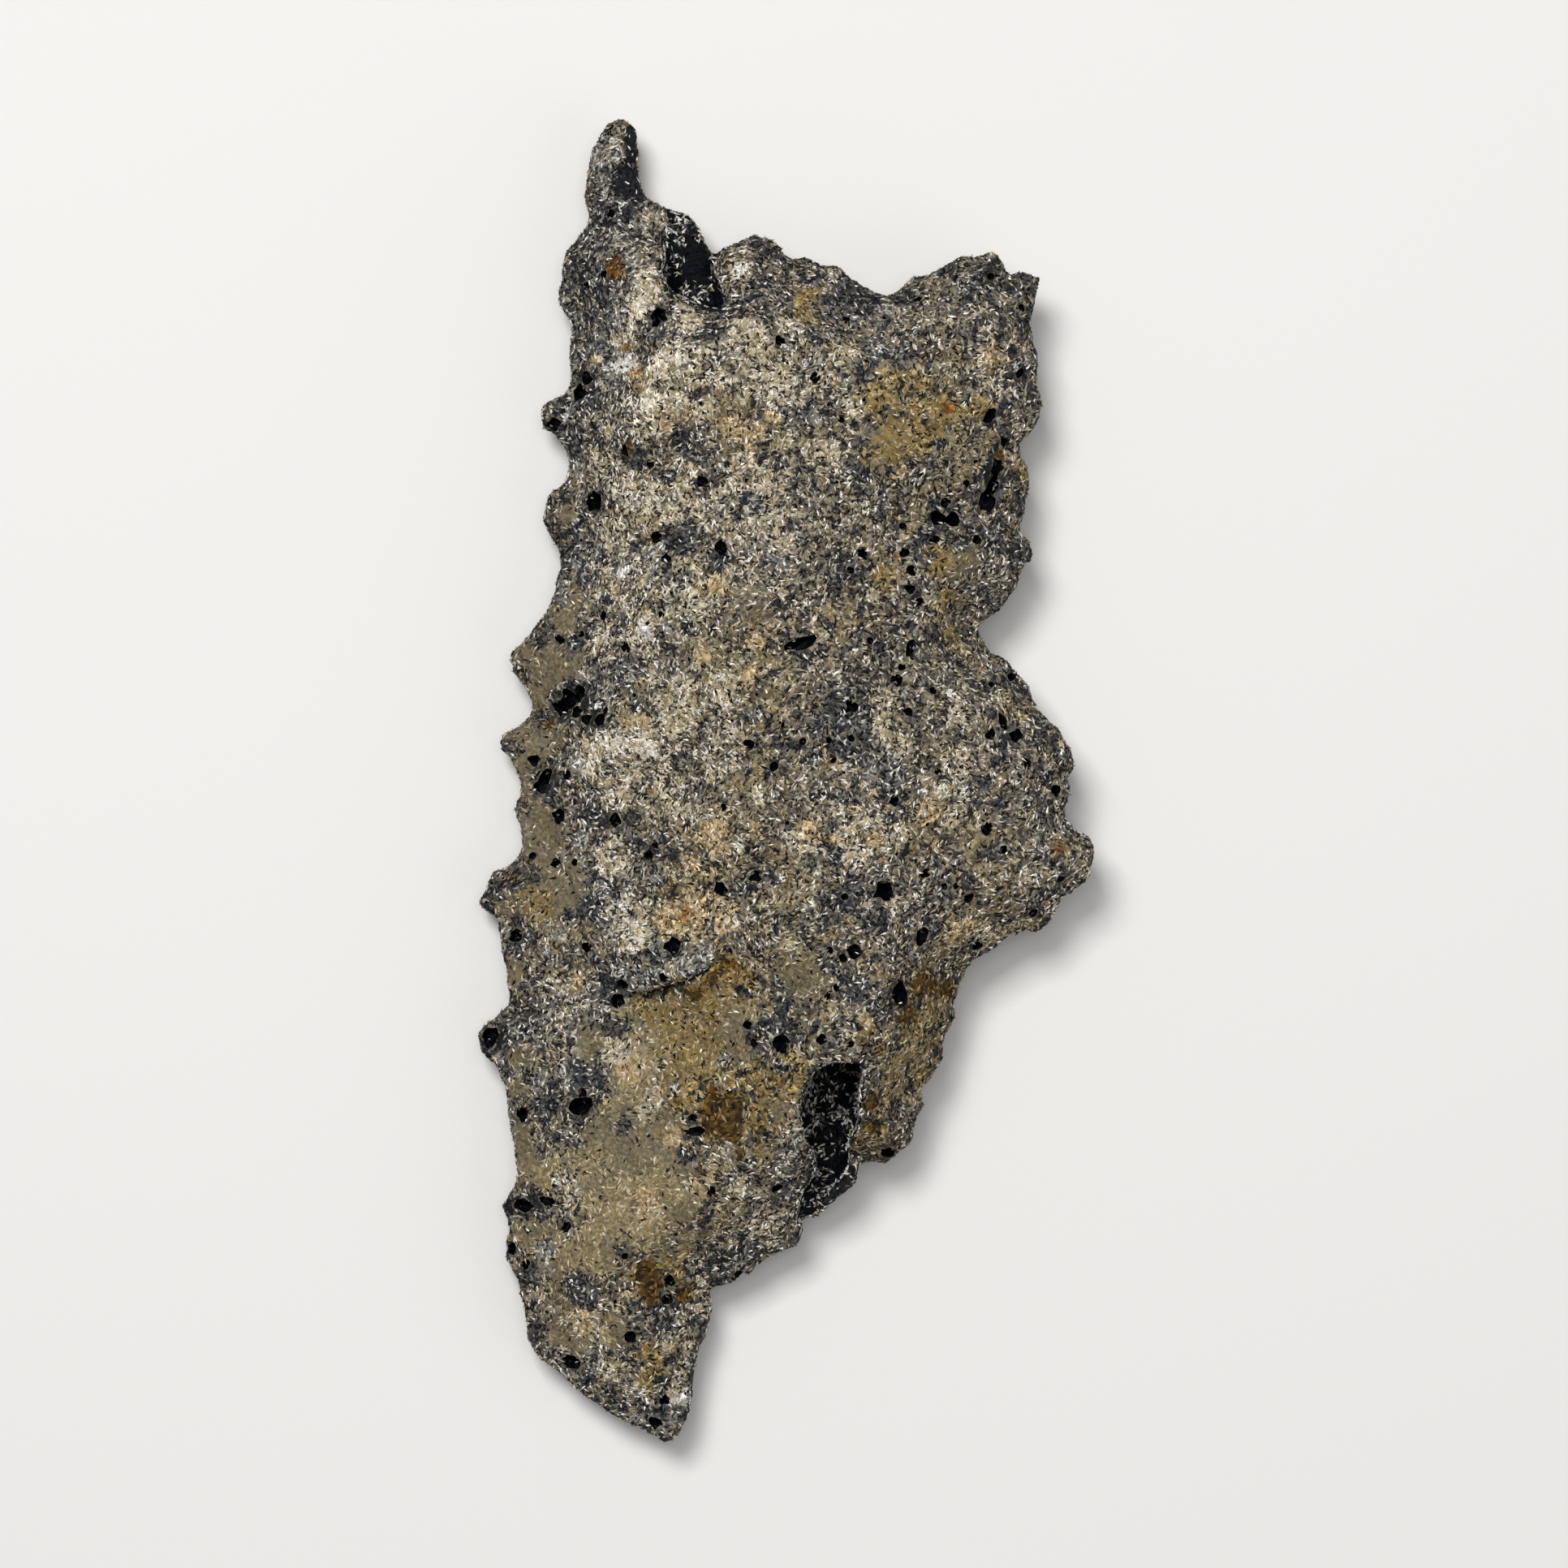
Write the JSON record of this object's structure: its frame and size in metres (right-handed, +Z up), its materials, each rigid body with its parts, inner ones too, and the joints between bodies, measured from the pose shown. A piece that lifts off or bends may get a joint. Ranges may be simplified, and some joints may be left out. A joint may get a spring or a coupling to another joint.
{
  "type": "fulgurite",
  "caption": "Irregular piece of lightning-fused sand: a flattened, knobbly tube with a glassy bore, thin spurred flanges, a pointed horn and gas pits.",
  "frame": {"origin": "centre of the bounding box's base, on the surface that the piece lies on", "axes": "+Y along its length, towards the horn; +Z up, out of the knobbly front face; +X across it, towards the broad wing"},
  "size_m": [0.0378, 0.0818, 0.0133],
  "materials": {
    "fused_sand": "rough fused quartz sand, grey and tan, with glassy dark pits"
  },
  "bodies": {
    "root": {"fulgurite": "fused_sand"}
  },
  "joints": []
}
